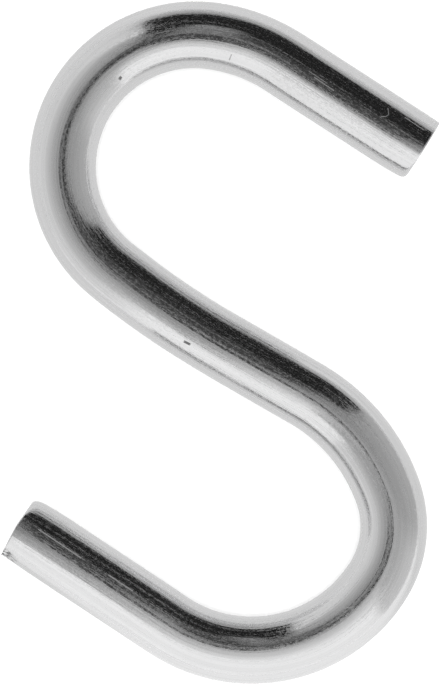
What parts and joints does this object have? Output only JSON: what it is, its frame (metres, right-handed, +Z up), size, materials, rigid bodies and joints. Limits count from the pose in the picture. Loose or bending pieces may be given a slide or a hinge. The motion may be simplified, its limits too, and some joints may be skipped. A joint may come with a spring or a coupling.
{
  "type": "s hook",
  "caption": "Plated round-wire S hook: two open hooks with straight arms face opposite ways, to hang one thing from another.",
  "frame": {"origin": "middle of the hook's outline, on the flat surface it lies on", "axes": "+Z up from the surface, square to the plane of the hook; +Y along the hook from the lower hook to the upper one; +X to the right, so that the two hooks and the leg between them read as the letter S from above"},
  "size_m": [0.0324, 0.0504, 0.005],
  "materials": {
    "bright_plate": "polished"
  },
  "bodies": {
    "root": {"s_hook": "bright_plate"}
  },
  "joints": []
}
